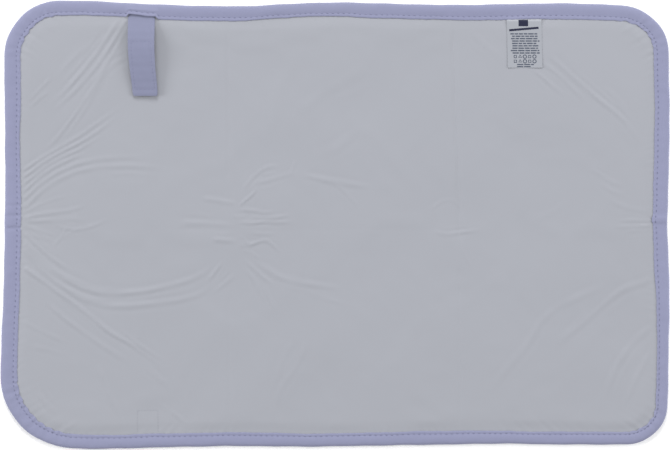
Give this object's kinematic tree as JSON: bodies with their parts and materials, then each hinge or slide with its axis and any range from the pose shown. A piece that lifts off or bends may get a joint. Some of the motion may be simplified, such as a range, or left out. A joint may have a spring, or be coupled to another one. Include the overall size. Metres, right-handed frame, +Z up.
{
  "type": "changing pad",
  "caption": "Padded folding changing pad with rounded corners, a wipeable lining, a bound edge, a touch-tape closure strap and a sewn care label, open and flat.",
  "frame": {"origin": "centre of the open pad, on the plane of its underside", "axes": "+X along the length, towards the care label's side; +Y across the width, towards the edge with the strap and the label; +Z up, out of the lining"},
  "size_m": [0.6, 0.4, 0.0077],
  "materials": {
    "lining": "smooth coated knit, pale grey, low sheen",
    "wadding": "white fibre wadding, hidden inside",
    "cover": "plain woven, muted lavender, matte",
    "binding": "folded bias tape, muted lavender, matte weave",
    "strap": "folded woven sleeve, muted lavender, matte",
    "hook_tape": "hook side of touch tape, lavender grey, rough",
    "loop_patch": "loop side of touch tape, lavender grey, fuzzy",
    "thread": "sewing thread, dark lavender",
    "label": null
  },
  "bodies": {
    "back_left": {"lining_back_left": "lining", "wadding_back_left": "wadding", "cover_back_left": "cover", "binding_back_left": "binding", "binding_thread_back_left": "thread", "strap_sewn_end": "strap"},
    "back_centre": {"lining_back_centre": "lining", "wadding_back_centre": "wadding", "cover_back_centre": "cover", "binding_back_centre": "binding", "binding_thread_back_centre": "thread"},
    "back_right": {"lining_back_right": "lining", "wadding_back_right": "wadding", "cover_back_right": "cover", "binding_back_right": "binding", "binding_thread_back_right": "thread", "binding_join": "binding", "care_label_sewn_end": "label"},
    "front_left": {"lining_front_left": "lining", "wadding_front_left": "wadding", "cover_front_left": "cover", "binding_front_left": "binding", "binding_thread_front_left": "thread", "loop_patch": "loop_patch", "loop_patch_thread": "thread"},
    "front_centre": {"lining_front_centre": "lining", "wadding_front_centre": "wadding", "cover_front_centre": "cover", "binding_front_centre": "binding", "binding_thread_front_centre": "thread"},
    "front_right": {"lining_front_right": "lining", "wadding_front_right": "wadding", "cover_front_right": "cover", "binding_front_right": "binding", "binding_thread_front_right": "thread"},
    "strap_root": {"strap_sleeve_root": "strap"},
    "strap_middle": {"strap_sleeve_middle": "strap", "hook_tape_middle": "hook_tape", "strap_thread_middle": "thread"},
    "strap_tip": {"strap_sleeve_tip": "strap", "hook_tape_tip": "hook_tape", "strap_thread_tip": "thread"},
    "care_label": {"care_label": "label"}
  },
  "joints": [
    {"name": "right_fold", "type": "hinge", "parent": "back_centre", "child": "back_right", "pos_m": [0.11, 0, 0.0055], "axis": [0, -1, 0], "range_deg": [0, 180]},
    {"name": "left_fold", "type": "hinge", "parent": "back_centre", "child": "back_left", "pos_m": [-0.097, 0, 0.0095], "axis": [0, 1, 0], "range_deg": [0, 180]},
    {"name": "half_fold", "type": "hinge", "parent": "back_centre", "child": "front_centre", "pos_m": [0, 0, -0.00015], "axis": [1, 0, 0], "range_deg": [0, 180]},
    {"name": "right_fold_front", "type": "hinge", "parent": "front_centre", "child": "front_right", "pos_m": [0.11, 0, 0.0055], "axis": [0, -1, 0], "range_deg": [0, 180]},
    {"name": "left_fold_front", "type": "hinge", "parent": "front_centre", "child": "front_left", "pos_m": [-0.097, 0, 0.0095], "axis": [0, 1, 0], "range_deg": [0, 180]},
    {"name": "strap_lift", "type": "hinge", "parent": "back_left", "child": "strap_root", "pos_m": [-0.173, 0.187, 0.0064], "axis": [-1, 0, 0], "range_deg": [0, 180]},
    {"name": "strap_bend_1", "type": "hinge", "parent": "strap_root", "child": "strap_middle", "pos_m": [-0.173, 0.1734, 0.0052], "axis": [1, 0, 0], "range_deg": [0, 90]},
    {"name": "strap_bend_2", "type": "hinge", "parent": "strap_middle", "child": "strap_tip", "pos_m": [-0.173, 0.1424, 0.0052], "axis": [1, 0, 0], "range_deg": [0, 90]},
    {"name": "label_lift", "type": "hinge", "parent": "back_right", "child": "care_label", "pos_m": [0.171, 0.1865, 0.00545], "axis": [1, 0, 0], "range_deg": [-150, 0]}
  ],
  "couplings": [
    {"joint": "right_fold_front", "follows": "right_fold", "ratio": 1},
    {"joint": "left_fold_front", "follows": "left_fold", "ratio": 1},
    {"joint": "strap_bend_1", "follows": "strap_lift", "ratio": 0.5},
    {"joint": "strap_bend_2", "follows": "strap_lift", "ratio": 0.5}
  ]
}
